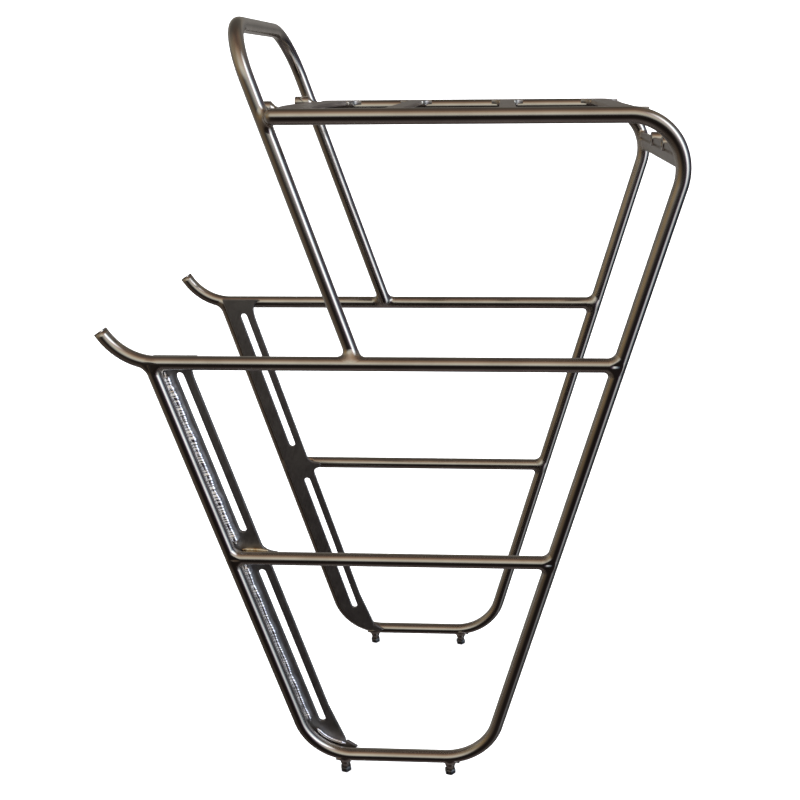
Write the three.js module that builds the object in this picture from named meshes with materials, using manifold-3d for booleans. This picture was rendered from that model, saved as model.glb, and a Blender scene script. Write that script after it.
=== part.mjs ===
// Rear rack of a bicycle: bent stainless steel tubes and flat plates, welded together.
// Millimetres. +X points to the rear of the bicycle, +Y to its right side, +Z up.
// While the pieces are made, X = 0 and Z = 0 are where the rear legs' centre lines meet
// the bottom tubes' centre lines. The finished rack is then moved so that the middle of
// its base is the origin.
import * as THREE from 'three';
import { mergeVertices } from 'three/addons/utils/BufferGeometryUtils.js';
import Module from 'manifold-3d';

const wasm = await Module();
wasm.setup();

const degrees = THREE.MathUtils.degToRad;

// ---------------------------------------------------------------- driving dimensions

const TUBE_RADIUS = 5;
const BORE_RADIUS = 4;
const TUBE_SIDES = 16;
const BORE_SIDES = 8;
const TOP_BEND_RADIUS = 35;
const BOTTOM_BEND_RADIUS = 43;
const BEND_STEP = degrees(9);
const WELD_GAP = 0.3; // clearance that every piece keeps from its neighbours

const SIDE_SPACING = 182; // between the centre planes of the two side frames
const LOWER_RAIL_HEIGHT = 178; // heights are taken from the bottom tubes' centre lines
const PANNIER_RAIL_HEIGHT = 330;
const PLATFORM_HEIGHT = 492;
const BOTTOM_LENGTH = 139; // between the centre lines of the front and rear legs
const FRONT_LEG_LEAN = degrees(15.9);
const REAR_LEG_LEAN = degrees(15.3);

const HOOP_LEAN = degrees(18.2);
const HOOP_FOOT_X = -90.5;
const HOOP_FOOT_SPACING = 173;
const HOOP_TOP_SPACING = 163;
const HOOP_TOP_HEIGHT = 548;
const HOOP_BEND_RADIUS = 37;

const RAIL_TIP_ANGLE = degrees(57);
const RAIL_TIP_RADIUS = 42;
const RAIL_TIP_X = -228; // where the pannier rail starts to curve up
const RAIL_TIP_STRAIGHT = 3;
const RAIL_CAP_THICKNESS = 1.6;
const RAIL_CAP_SPIGOT_RADIUS = 3.4;
const RAIL_CAP_SPIGOT_LENGTH = 6;

const STRUT_THICKNESS = 3;
const STRUT_TOP = PLATFORM_HEIGHT + TUBE_RADIUS - 0.4;
const STRUT_PITCH = 73;
const FIRST_STRUT_X = -133;
const FRONT_STRUT_X = -123;
const FRONT_STRUT_WIDTH = 23;
const FRONT_STRUT_BOW = 10;
const MIDDLE_STRUT_WIDTH = 11;
const REAR_STRUT_WIDTH = 15;
const STRUT_FLARE = 7;

const PLATE_THICKNESS = 2.5;
const PLATE_FRONT_INSET = 1; // front edge, behind the front leg's centre line
const UPPER_PLATE_REACH = 23.8; // rear edge, behind the front leg's centre line
const LOWER_PLATE_REACH = 25;
const PLATE_TOP = PANNIER_RAIL_HEIGHT + 3.5;
const PLATE_FLARE = 9;
const PLATE_TIP = { x: -104.3, z: 2.6 };
const PLATE_HEEL = { x: -111.3, z: 10.5 };
const SLOT_WIDTH = 5.5;
// a slot's centre line is its offset behind the front leg's centre line
const UPPER_SLOT = { bottom: 199.5, top: 318.5, offset: 14.6 };
const LOWER_SLOT = { bottom: 30, top: 162.5, offset: 15.8 };

const LAMP_BRACKET_FOLD = { x: 120.5, z: 466.4 };
const LAMP_BRACKET_LIP = 4.8;
const LAMP_BRACKET_DROP = 8.5;
const LAMP_BRACKET_THICKNESS = 2.5;
const LAMP_BOSS_SPACING = 50;
const LAMP_BOSS_LENGTH = 14;
const LAMP_BOSS_RADIUS = 5;
const LAMP_BOSS_HEIGHT = 470;

const STAY_BOSS_SPACING = 124;
const STAY_BOSS_RADIUS = 4.5;
const STAY_BOSS_LENGTH = 11;
const STAY_BOSS_FRONT = -152.5;
const STAY_BOSS_HEIGHT = 496.3;

const BOSS_BORE_RADIUS = 2.6;
const BOLT_RADIUS = 2.3;
const FOOT_BOSS_TOP_RADIUS = 4.3;
const FOOT_BOSS_TIP_RADIUS = 3.3;
const FOOT_BOSS_TIP = -11;
const FOOT_FRONT_X = -113.5;
const FOOT_REAR_X = -28.5;
const BOLT_HEAD_ACROSS_FLATS = 8;
const BOLT_HEAD_TOP = -11.3;
const BOLT_HEAD_HEIGHT = 4.2;
const BOLT_TIP = -6;

// ---------------------------------------------------------------- materials

const tubeSteel = new THREE.MeshStandardMaterial({
  color: 0x8d857b, roughness: 0.24, metalness: 1,
});
const plateSteel = new THREE.MeshStandardMaterial({
  color: 0x6f6b67, roughness: 0.42, metalness: 1,
});
const boltSteel = new THREE.MeshStandardMaterial({
  color: 0x4b4d52, roughness: 0.35, metalness: 1,
});

// ---------------------------------------------------------------- solids

// A bent tube's centre line, as stations: one at each end and one every few degrees of
// bend. The stations are points with the direction of the tube there. Each inner corner
// has its own bend radius.
class BentLine extends THREE.Curve {
  constructor(corners, ...bendRadii) {
    super();
    this.stations = [];
    corners.forEach((corner, index) => {
      const before = corners[index - 1] ?? corner;
      const after = corners[index + 1] ?? corner;
      const into = corner.clone().sub(before).normalize();
      const out = after.clone().sub(corner).normalize();
      if (index === 0) this.stations.push({ point: corner, tangent: out });
      else if (index === corners.length - 1) this.stations.push({ point: corner, tangent: into });
      else this.addBend(corner, into, out, bendRadii[index - 1]);
    });
  }

  addBend(corner, into, out, bendRadius) {
    const turn = into.angleTo(out);
    const axis = into.clone().cross(out).normalize();
    const start = corner.clone().addScaledVector(into, -bendRadius * Math.tan(turn / 2));
    const centre = start.clone().addScaledVector(axis.clone().cross(into), bendRadius);
    const steps = Math.ceil(turn / BEND_STEP);
    for (let step = 0; step <= steps; step++) {
      const angle = (turn * step) / steps;
      this.stations.push({
        point: start.clone().sub(centre).applyAxisAngle(axis, angle).add(centre),
        tangent: into.clone().applyAxisAngle(axis, angle),
      });
    }
  }

  station(u) {
    return this.stations[Math.round(u * (this.stations.length - 1))];
  }

  getPointAt(u, target = new THREE.Vector3()) {
    return target.copy(this.station(u).point);
  }

  getTangentAt(u, target = new THREE.Vector3()) {
    return target.copy(this.station(u).tangent);
  }

  getSpacedPoints() {
    return this.stations.map(({ point }) => point);
  }
}

function ring(radius, sides) {
  const corner = (_, index) => {
    const angle = (index / sides) * 2 * Math.PI;
    return new THREE.Vector2(radius * Math.cos(angle), radius * Math.sin(angle));
  };
  return Array.from({ length: sides }, corner);
}

function toSolid(geometry) {
  const bare = geometry.clone();
  bare.deleteAttribute('normal');
  bare.deleteAttribute('uv');
  const merged = mergeVertices(bare, 1e-4);
  return new wasm.Manifold(new wasm.Mesh({
    numProp: 3,
    vertProperties: new Float32Array(merged.attributes.position.array),
    triVerts: new Uint32Array(merged.index.array),
  }));
}

function toGeometry(solid) {
  const mesh = solid.getMesh();
  const geometry = new THREE.BufferGeometry();
  geometry.setAttribute('position', new THREE.BufferAttribute(mesh.vertProperties, 3));
  geometry.setIndex(new THREE.BufferAttribute(mesh.triVerts, 1));
  geometry.computeVertexNormals();
  return geometry;
}

// A round section swept along a centre line: a tube with a bore, or a solid rod.
function sweep(line, radius, boreRadius = 0) {
  const section = new THREE.Shape(ring(radius, TUBE_SIDES));
  if (boreRadius > 0) section.holes.push(new THREE.Path(ring(boreRadius, BORE_SIDES)));
  return toSolid(new THREE.ExtrudeGeometry(section, {
    steps: line.stations.length - 1,
    extrudePath: line,
  }));
}

const tube = (line) => sweep(line, TUBE_RADIUS, BORE_RADIUS);
const clearance = (line) => sweep(line, TUBE_RADIUS + WELD_GAP);

// The solid with each neighbour's clearance cut out of it.
const cope = (solid, ...clearances) => clearances.reduce((rest, cut) => rest.subtract(cut), solid);

function straightLine(start, end) {
  return new BentLine([start, end]);
}

// A turned piece: profile points are [radius, distance along the axis].
function turned(profile, sides = TUBE_SIDES) {
  return new THREE.LatheGeometry(profile.map(([r, along]) => new THREE.Vector2(r, along)), sides);
}

function bush(radius, length) {
  return turned([
    [BOSS_BORE_RADIUS, 0], [radius, 0], [radius, length], [BOSS_BORE_RADIUS, length],
    [BOSS_BORE_RADIUS, 0],
  ]);
}

// A flat outline drawn in the X-Z plane, given a thickness from y outwards.
function uprightPlate(outline, y, thickness) {
  const geometry = new THREE.ExtrudeGeometry(outline, {
    depth: thickness, bevelEnabled: false, curveSegments: 8,
  });
  geometry.rotateX(Math.PI / 2);
  geometry.translate(0, y + thickness, 0);
  return geometry;
}

// ---------------------------------------------------------------- centre lines

const frontLegX = (height) => -BOTTOM_LENGTH - height * Math.tan(FRONT_LEG_LEAN);
const rearLegX = (height) => height * Math.tan(REAR_LEG_LEAN);
const hoopX = (height) => HOOP_FOOT_X - (height - PANNIER_RAIL_HEIGHT) * Math.tan(HOOP_LEAN);
const sideY = (side) => (side * SIDE_SPACING) / 2;

function sideFrameLine(side) {
  const y = sideY(side);
  return new BentLine([
    new THREE.Vector3(hoopX(PLATFORM_HEIGHT), y, PLATFORM_HEIGHT),
    new THREE.Vector3(rearLegX(PLATFORM_HEIGHT), y, PLATFORM_HEIGHT),
    new THREE.Vector3(0, y, 0),
    new THREE.Vector3(-BOTTOM_LENGTH, y, 0),
    new THREE.Vector3(frontLegX(PANNIER_RAIL_HEIGHT), y, PANNIER_RAIL_HEIGHT),
  ], TOP_BEND_RADIUS, BOTTOM_BEND_RADIUS, BOTTOM_BEND_RADIUS);
}

function pannierRailLine(side) {
  const y = sideY(side);
  const setback = RAIL_TIP_RADIUS * Math.tan(RAIL_TIP_ANGLE / 2);
  const cornerX = RAIL_TIP_X - setback;
  const reach = setback + RAIL_TIP_STRAIGHT;
  return new BentLine([
    new THREE.Vector3(rearLegX(PANNIER_RAIL_HEIGHT), y, PANNIER_RAIL_HEIGHT),
    new THREE.Vector3(cornerX, y, PANNIER_RAIL_HEIGHT),
    new THREE.Vector3(
      cornerX - reach * Math.cos(RAIL_TIP_ANGLE),
      y,
      PANNIER_RAIL_HEIGHT + reach * Math.sin(RAIL_TIP_ANGLE),
    ),
  ], RAIL_TIP_RADIUS);
}

function lowerRailLine(side) {
  return straightLine(
    new THREE.Vector3(frontLegX(LOWER_RAIL_HEIGHT), sideY(side), LOWER_RAIL_HEIGHT),
    new THREE.Vector3(rearLegX(LOWER_RAIL_HEIGHT), sideY(side), LOWER_RAIL_HEIGHT),
  );
}

function hoopLine() {
  const foot = (side) => new THREE.Vector3(
    hoopX(PANNIER_RAIL_HEIGHT), (side * HOOP_FOOT_SPACING) / 2, PANNIER_RAIL_HEIGHT,
  );
  const top = (side) => new THREE.Vector3(
    hoopX(HOOP_TOP_HEIGHT), (side * HOOP_TOP_SPACING) / 2, HOOP_TOP_HEIGHT,
  );
  return new BentLine(
    [foot(-1), top(-1), top(1), foot(1)], HOOP_BEND_RADIUS, HOOP_BEND_RADIUS,
  );
}

const sides = [{ name: 'left', sign: -1 }, { name: 'right', sign: 1 }];
const sideFrameClearance = new Map(sides.map(({ sign }) => [sign, clearance(sideFrameLine(sign))]));
const railClearance = new Map(sides.map(({ sign }) => [sign, clearance(pannierRailLine(sign))]));
const hoopClearance = clearance(hoopLine());

// ---------------------------------------------------------------- tubes

const sideFrame = (side) => cope(tube(sideFrameLine(side)), railClearance.get(side), hoopClearance);
const pannierRail = (side) => cope(tube(pannierRailLine(side)), sideFrameClearance.get(side));
const lowerRail = (side) => cope(tube(lowerRailLine(side)), sideFrameClearance.get(side));
const hoop = () => cope(tube(hoopLine()), railClearance.get(-1), railClearance.get(1));

// The plug that closes a pannier rail's upturned end.
function railCap(side) {
  const tip = pannierRailLine(side).stations.at(-1);
  const geometry = turned([
    [0, -RAIL_CAP_SPIGOT_LENGTH],
    [RAIL_CAP_SPIGOT_RADIUS, -RAIL_CAP_SPIGOT_LENGTH],
    [RAIL_CAP_SPIGOT_RADIUS, WELD_GAP],
    [TUBE_RADIUS, WELD_GAP],
    [TUBE_RADIUS, RAIL_CAP_THICKNESS / 2],
    [TUBE_RADIUS * 0.8, RAIL_CAP_THICKNESS],
    [0, RAIL_CAP_THICKNESS],
  ]);
  geometry.applyQuaternion(new THREE.Quaternion().setFromUnitVectors(
    new THREE.Vector3(0, 1, 0), tip.tangent,
  ));
  geometry.translate(...tip.point.toArray());
  return geometry;
}

// ---------------------------------------------------------------- platform struts

// A strut's outline seen from above, flared where it meets the tubes at its ends. The
// middle of the strut is bowed forwards by `bow`.
function strutOutline({ x, width, bow = 0, frontFlare = STRUT_FLARE }) {
  const reach = SIDE_SPACING / 2;
  const edge = reach - TUBE_RADIUS;
  const neck = edge - STRUT_FLARE;
  const front = x - width / 2;
  const rear = x + width / 2;
  const outline = new THREE.Shape();
  outline.moveTo(front - frontFlare, -reach);
  outline.lineTo(front - frontFlare, -edge);
  outline.quadraticCurveTo(front, -edge, front, -neck);
  outline.quadraticCurveTo(front - 2 * bow, 0, front, neck);
  outline.quadraticCurveTo(front, edge, front - frontFlare, edge);
  outline.lineTo(front - frontFlare, reach);
  outline.lineTo(rear + STRUT_FLARE, reach);
  outline.lineTo(rear + STRUT_FLARE, edge);
  outline.quadraticCurveTo(rear, edge, rear, neck);
  outline.quadraticCurveTo(rear - 2 * bow, 0, rear, -neck);
  outline.quadraticCurveTo(rear, -edge, rear + STRUT_FLARE, -edge);
  outline.lineTo(rear + STRUT_FLARE, -reach);
  return outline;
}

function strut(shape, ...cuts) {
  const geometry = new THREE.ExtrudeGeometry(strutOutline(shape), {
    depth: STRUT_THICKNESS, bevelEnabled: false, curveSegments: 8,
  });
  geometry.translate(0, 0, STRUT_TOP - STRUT_THICKNESS);
  return cope(
    toSolid(geometry), sideFrameClearance.get(-1), sideFrameClearance.get(1), ...cuts,
  );
}

// ---------------------------------------------------------------- slotted plates

function slot({ bottom, top, offset }) {
  const lean = FRONT_LEG_LEAN;
  const x = (height) => frontLegX(height) + offset;
  const radius = SLOT_WIDTH / 2;
  const hole = new THREE.Path();
  hole.absarc(x(top), top, radius, lean, lean + Math.PI);
  hole.absarc(x(bottom), bottom, radius, lean + Math.PI, lean + 2 * Math.PI);
  return hole;
}

// The outline runs down the front leg, round the bend, and back up the plate's free edge,
// which flares where it meets the lower rail and the pannier rail.
function slottedPlateOutline() {
  const setback = BOTTOM_BEND_RADIUS * Math.tan((Math.PI / 2 - FRONT_LEG_LEAN) / 2);
  const front = (height) => frontLegX(height) + PLATE_FRONT_INSET;
  const reach = (height) => (height < LOWER_RAIL_HEIGHT ? LOWER_PLATE_REACH : UPPER_PLATE_REACH);
  const rear = (height) => frontLegX(height) + reach(height);
  const outline = new THREE.Shape();
  outline.moveTo(front(PLATE_TOP), PLATE_TOP);
  outline.lineTo(front(BOTTOM_BEND_RADIUS), BOTTOM_BEND_RADIUS);
  outline.absarc(
    -BOTTOM_LENGTH + setback, BOTTOM_BEND_RADIUS, BOTTOM_BEND_RADIUS - PLATE_FRONT_INSET,
    Math.PI + FRONT_LEG_LEAN, 1.5 * Math.PI, false,
  );
  outline.lineTo(PLATE_TIP.x, PLATE_TIP.z);
  outline.lineTo(PLATE_HEEL.x, PLATE_HEEL.z);
  outline.quadraticCurveTo(rear(22), 22, rear(40), 40);
  const railTip = { x: rear(LOWER_RAIL_HEIGHT) + PLATE_FLARE, z: LOWER_RAIL_HEIGHT };
  const above = LOWER_RAIL_HEIGHT + PLATE_FLARE;
  const below = LOWER_RAIL_HEIGHT - PLATE_FLARE;
  outline.lineTo(rear(below), below);
  outline.quadraticCurveTo(rear(railTip.z - 3), railTip.z - 3, railTip.x, railTip.z - 2);
  outline.lineTo(railTip.x, railTip.z + 2);
  outline.quadraticCurveTo(rear(railTip.z + 3), railTip.z + 3, rear(above), above);
  outline.lineTo(rear(PLATE_TOP - 2 * PLATE_FLARE), PLATE_TOP - 2 * PLATE_FLARE);
  outline.quadraticCurveTo(
    rear(PLATE_TOP - 4), PLATE_TOP - 4, rear(PLATE_TOP) + PLATE_FLARE, PLATE_TOP,
  );
  outline.holes.push(slot(UPPER_SLOT), slot(LOWER_SLOT));
  return outline;
}

function slottedPlate(side) {
  const outerFace = SIDE_SPACING / 2 - TUBE_RADIUS - WELD_GAP;
  const low = side < 0 ? -outerFace : outerFace - PLATE_THICKNESS;
  return uprightPlate(slottedPlateOutline(), low, PLATE_THICKNESS);
}

// ---------------------------------------------------------------- bosses and bolts

// A boss lying along X from its front end.
function placedBush(radius, length, frontX, y, z) {
  const geometry = bush(radius, length);
  geometry.rotateZ(-Math.PI / 2);
  geometry.translate(frontX, y, z);
  return geometry;
}

function bushClearance(radius, length, frontX, y, z) {
  const margin = 2 * WELD_GAP;
  return sweep(straightLine(
    new THREE.Vector3(frontX - margin, y, z),
    new THREE.Vector3(frontX + length + margin, y, z),
  ), radius + WELD_GAP);
}

const stayBoss = (side) => [
  STAY_BOSS_RADIUS, STAY_BOSS_LENGTH, STAY_BOSS_FRONT, (side * STAY_BOSS_SPACING) / 2,
  STAY_BOSS_HEIGHT,
];
const lampBoss = (side) => [
  LAMP_BOSS_RADIUS, LAMP_BOSS_LENGTH, LAMP_BRACKET_FOLD.x - 1, (side * LAMP_BOSS_SPACING) / 2,
  LAMP_BOSS_HEIGHT,
];

function footBoss(x, y) {
  const geometry = turned([
    [BOSS_BORE_RADIUS, 0],
    [BOSS_BORE_RADIUS, FOOT_BOSS_TIP],
    [FOOT_BOSS_TIP_RADIUS, FOOT_BOSS_TIP],
    [FOOT_BOSS_TIP_RADIUS, FOOT_BOSS_TIP + 2],
    [FOOT_BOSS_TOP_RADIUS, -TUBE_RADIUS - 2],
    [FOOT_BOSS_TOP_RADIUS, 0],
    [BOSS_BORE_RADIUS, 0],
  ]);
  geometry.rotateX(Math.PI / 2);
  geometry.translate(x, y, 0);
  return geometry;
}

function footBolt(x, y) {
  const headBottom = BOLT_HEAD_TOP - BOLT_HEAD_HEIGHT;
  const headRadius = BOLT_HEAD_ACROSS_FLATS / 2 / Math.cos(Math.PI / 6);
  const head = new THREE.CylinderGeometry(headRadius, headRadius, BOLT_HEAD_HEIGHT, 6);
  head.rotateX(Math.PI / 2);
  head.translate(x, y, headBottom + BOLT_HEAD_HEIGHT / 2);
  const shank = turned([
    [0, headBottom + 1], [BOLT_RADIUS, headBottom + 1], [BOLT_RADIUS, BOLT_TIP], [0, BOLT_TIP],
  ]);
  shank.rotateX(Math.PI / 2);
  shank.translate(x, y, 0);
  return toSolid(head).add(toSolid(shank));
}

// ---------------------------------------------------------------- lamp bracket

// A strip across the rear bends: its lower part follows the tubes' slope, its lip stands up.
function lampBracket() {
  const { x, z } = LAMP_BRACKET_FOLD;
  const lean = REAR_LEG_LEAN;
  const t = LAMP_BRACKET_THICKNESS;
  const dropX = LAMP_BRACKET_DROP * Math.sin(lean);
  const dropZ = LAMP_BRACKET_DROP * Math.cos(lean);
  const section = new THREE.Shape([
    new THREE.Vector2(x, z + LAMP_BRACKET_LIP),
    new THREE.Vector2(x, z),
    new THREE.Vector2(x + dropX, z - dropZ),
    new THREE.Vector2(x + dropX + t * Math.cos(lean), z - dropZ + t * Math.sin(lean)),
    new THREE.Vector2(x + t, z + t * Math.tan(lean / 2)),
    new THREE.Vector2(x + t, z + LAMP_BRACKET_LIP),
  ]);
  const strip = toSolid(uprightPlate(section, -SIDE_SPACING / 2, SIDE_SPACING));
  return cope(
    strip,
    sideFrameClearance.get(-1), sideFrameClearance.get(1),
    bushClearance(...lampBoss(-1)), bushClearance(...lampBoss(1)),
  );
}

// ---------------------------------------------------------------- assembly

const rack = new THREE.Group();

function add(name, shape, material) {
  const geometry = shape.isBufferGeometry ? shape : toGeometry(shape);
  const mesh = new THREE.Mesh(geometry, material);
  mesh.name = name;
  rack.add(mesh);
}

add('hoop', hoop(), tubeSteel);
add('front_strut', strut(
  { x: FRONT_STRUT_X, width: FRONT_STRUT_WIDTH, bow: FRONT_STRUT_BOW, frontFlare: 0.5 },
  hoopClearance, bushClearance(...stayBoss(-1)), bushClearance(...stayBoss(1)),
), plateSteel);
add('middle_strut_front', strut({ x: FIRST_STRUT_X + STRUT_PITCH, width: MIDDLE_STRUT_WIDTH }), plateSteel);
add('middle_strut_rear', strut({ x: FIRST_STRUT_X + 2 * STRUT_PITCH, width: MIDDLE_STRUT_WIDTH }), plateSteel);
add('rear_strut', strut({ x: FIRST_STRUT_X + 3 * STRUT_PITCH, width: REAR_STRUT_WIDTH }), plateSteel);
add('lamp_bracket', lampBracket(), plateSteel);

for (const { name, sign } of sides) {
  const y = sideY(sign);
  add(`side_frame_${name}`, sideFrame(sign), tubeSteel);
  add(`pannier_rail_${name}`, pannierRail(sign), tubeSteel);
  add(`pannier_rail_cap_${name}`, railCap(sign), tubeSteel);
  add(`lower_rail_${name}`, lowerRail(sign), tubeSteel);
  add(`slotted_plate_${name}`, slottedPlate(sign), plateSteel);
  add(`stay_boss_${name}`, placedBush(...stayBoss(sign)), tubeSteel);
  add(`lamp_boss_${name}`, placedBush(...lampBoss(sign)), tubeSteel);
  for (const [end, x] of [['front', FOOT_FRONT_X], ['rear', FOOT_REAR_X]]) {
    add(`foot_boss_${end}_${name}`, cope(
      toSolid(footBoss(x, y)), sideFrameClearance.get(sign),
    ), tubeSteel);
    add(`foot_bolt_${end}_${name}`, footBolt(x, y), boltSteel);
  }
}

const box = new THREE.Box3().setFromObject(rack, true);
rack.position.set(-(box.min.x + box.max.x) / 2, -(box.min.y + box.max.y) / 2, -box.min.z);
rack.updateMatrixWorld(true);

export default rack;
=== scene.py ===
"""Looks of the rear rack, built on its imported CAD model.

The rack is a weldment, so its tubes, plates and bosses are drawn smooth over the CAD
solids, and the welds that join them are filled in. Lengths are in millimetres unless a
name says otherwise; `at` turns them into the scene's metres. X = 0 and Z = 0 are where
the rear legs' centre lines meet the bottom tubes' centre lines.
"""
import math

import bpy
import numpy as np
from mathutils import Matrix, Vector


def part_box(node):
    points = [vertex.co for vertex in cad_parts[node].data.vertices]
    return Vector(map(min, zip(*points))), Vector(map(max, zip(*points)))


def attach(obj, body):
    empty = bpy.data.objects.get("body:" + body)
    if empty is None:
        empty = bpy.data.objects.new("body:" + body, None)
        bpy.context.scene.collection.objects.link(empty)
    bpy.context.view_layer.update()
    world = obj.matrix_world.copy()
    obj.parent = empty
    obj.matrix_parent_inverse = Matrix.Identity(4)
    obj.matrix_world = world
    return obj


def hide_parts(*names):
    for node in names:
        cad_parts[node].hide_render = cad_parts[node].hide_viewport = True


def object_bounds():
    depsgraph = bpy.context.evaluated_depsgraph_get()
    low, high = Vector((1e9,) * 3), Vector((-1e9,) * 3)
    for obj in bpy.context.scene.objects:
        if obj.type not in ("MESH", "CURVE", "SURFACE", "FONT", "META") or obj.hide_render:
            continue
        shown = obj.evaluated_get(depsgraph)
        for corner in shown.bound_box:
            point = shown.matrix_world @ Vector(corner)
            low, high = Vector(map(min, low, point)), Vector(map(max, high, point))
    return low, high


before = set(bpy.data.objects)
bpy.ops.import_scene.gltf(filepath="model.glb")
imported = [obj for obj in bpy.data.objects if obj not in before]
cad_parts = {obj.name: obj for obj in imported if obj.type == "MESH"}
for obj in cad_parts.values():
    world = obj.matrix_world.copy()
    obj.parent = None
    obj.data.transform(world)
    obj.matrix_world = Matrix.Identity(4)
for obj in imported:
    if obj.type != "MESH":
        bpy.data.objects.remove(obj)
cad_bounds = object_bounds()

MM = 0.001
SIDES = {"left": -1, "right": 1}

# ---------------------------------------------------------------- dimensions

TUBE_RADIUS = 5.0
SIDE_Y = 91.0
LOWER_RAIL_Z = 178.0
PANNIER_RAIL_Z = 330.0
PLATFORM_Z = 492.0
BOTTOM_LENGTH = 139.0
FRONT_SLOPE = math.tan(math.radians(15.9))
REAR_SLOPE = math.tan(math.radians(15.3))
TOP_BEND = 35.0
PLATFORM_START = 9.0
BOTTOM_BEND = 43.0

HOOP_SLOPE = math.tan(math.radians(18.2))
HOOP_FOOT_X = -90.5
HOOP_FOOT_Y = 86.5
HOOP_TOP_Y = 81.5
HOOP_TOP_Z = 548.0
HOOP_BEND = 37.0

RAIL_TIP_ANGLE = math.radians(57)
RAIL_TIP_BEND = 42.0
RAIL_TIP_X = -228.0
RAIL_TIP_STRAIGHT = 3.0

STRUT_TOP = PLATFORM_Z + 4.6
STRUT_THICKNESS = 3.0
STRUT_FLARE = 7.0
PLATE_INNER_Y = 83.2
PLATE_THICKNESS = 2.5
PLATE_TOP_Z = PANNIER_RAIL_Z + 3.5
PLATE_FLARE = 9.0
SLOT_RADIUS = 2.75

# the lamp bracket: where its fold lies, the height of its lip, and the length of its drop
LAMP_FOLD_X = 120.5
LAMP_FOLD_Z = 466.4
LAMP_LIP = 4.8
LAMP_DROP = 8.5
LAMP_THICKNESS = 2.5
LAMP_BOSS_Z = 470.0

FOOT_X = {"front": -113.5, "rear": -28.5}
LAMP_BOSS_Y = 25.0
STAY_BOSS_X = -152.5
STAY_BOSS_Y = 62.0
STAY_BOSS_Z = 496.3

# the CAD model's place in the scene
side_low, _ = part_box("side_frame_left")
bolt_low, bolt_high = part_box("foot_bolt_rear_left")
ORIGIN = Vector((
    (bolt_low.x + bolt_high.x) / 2 - FOOT_X["rear"] * MM,
    0,
    side_low.z + TUBE_RADIUS * MM,
))


def at(x, y, z):
    return ORIGIN + Vector((x, y, z)) * MM


def front_leg_x(z):
    return -BOTTOM_LENGTH - z * FRONT_SLOPE


def rear_leg_x(z):
    return z * REAR_SLOPE


def hoop_x(z):
    return HOOP_FOOT_X - (z - PANNIER_RAIL_Z) * HOOP_SLOPE


def hoop_y(z):
    rise = (z - PANNIER_RAIL_Z) / (HOOP_TOP_Z - PANNIER_RAIL_Z)
    return HOOP_FOOT_Y + (HOOP_TOP_Y - HOOP_FOOT_Y) * rise


# ---------------------------------------------------------------- centre lines


def bent_line(corners, radii, step=math.radians(3)):
    """The centre line through the corners, as points, with a round bend at each inner one."""
    points = [Vector(corners[0])]
    for index, radius in enumerate(radii, start=1):
        corner = Vector(corners[index])
        into = (corner - Vector(corners[index - 1])).normalized()
        out = (Vector(corners[index + 1]) - corner).normalized()
        turn = into.angle(out)
        axis = into.cross(out).normalized()
        start = corner - into * radius * math.tan(turn / 2)
        centre = start + axis.cross(into) * radius
        count = math.ceil(turn / step)
        for k in range(count + 1):
            points.append(centre + Matrix.Rotation(turn * k / count, 3, axis) @ (start - centre))
    points.append(Vector(corners[-1]))
    return points


def side_frame_line(side):
    y = side * SIDE_Y
    return bent_line([
        (hoop_x(PLATFORM_Z) + PLATFORM_START, y, PLATFORM_Z),
        (rear_leg_x(PLATFORM_Z), y, PLATFORM_Z),
        (0, y, 0),
        (-BOTTOM_LENGTH, y, 0),
        (front_leg_x(PANNIER_RAIL_Z), y, PANNIER_RAIL_Z),
    ], [TOP_BEND, BOTTOM_BEND, BOTTOM_BEND])


def pannier_rail_line(side):
    y = side * SIDE_Y
    setback = RAIL_TIP_BEND * math.tan(RAIL_TIP_ANGLE / 2)
    corner = RAIL_TIP_X - setback
    reach = setback + RAIL_TIP_STRAIGHT
    tip = (
        corner - reach * math.cos(RAIL_TIP_ANGLE), y,
        PANNIER_RAIL_Z + reach * math.sin(RAIL_TIP_ANGLE),
    )
    rear = (rear_leg_x(PANNIER_RAIL_Z), y, PANNIER_RAIL_Z)
    return bent_line([rear, (corner, y, PANNIER_RAIL_Z), tip], [RAIL_TIP_BEND])


def lower_rail_line(side):
    y = side * SIDE_Y
    return [
        Vector((front_leg_x(LOWER_RAIL_Z), y, LOWER_RAIL_Z)),
        Vector((rear_leg_x(LOWER_RAIL_Z), y, LOWER_RAIL_Z)),
    ]


def hoop_line():
    foot_z = PANNIER_RAIL_Z + 3

    def corner(side, z):
        return (hoop_x(z), side * hoop_y(z), z)

    return bent_line(
        [corner(-1, foot_z), corner(-1, HOOP_TOP_Z), corner(1, HOOP_TOP_Z), corner(1, foot_z)],
        [HOOP_BEND, HOOP_BEND],
    )


# ---------------------------------------------------------------- pieces


def piece(name, mesh, material, replaced=()):
    """A finished mesh, in the scene's metres, as one piece of the rack."""
    obj = bpy.data.objects.new(name, mesh)
    bpy.context.scene.collection.objects.link(obj)
    mesh.materials.append(material)
    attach(obj, "root")
    if replaced:
        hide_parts(*replaced)
    return obj


def shade_smooth(mesh):
    mesh.polygons.foreach_set("use_smooth", [True] * len(mesh.polygons))


def make_mesh(name, points, faces, uvs=None):
    """A mesh from points in millimetres. uvs gives one (u, v) for each face corner."""
    mesh = bpy.data.meshes.new(name)
    mesh.from_pydata([at(*p) for p in points], [], faces)
    if uvs is not None:
        layer = mesh.uv_layers.new(name="along")
        layer.data.foreach_set("uv", np.asarray(uvs, float).ravel())
    shade_smooth(mesh)
    mesh.update()
    return mesh


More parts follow.
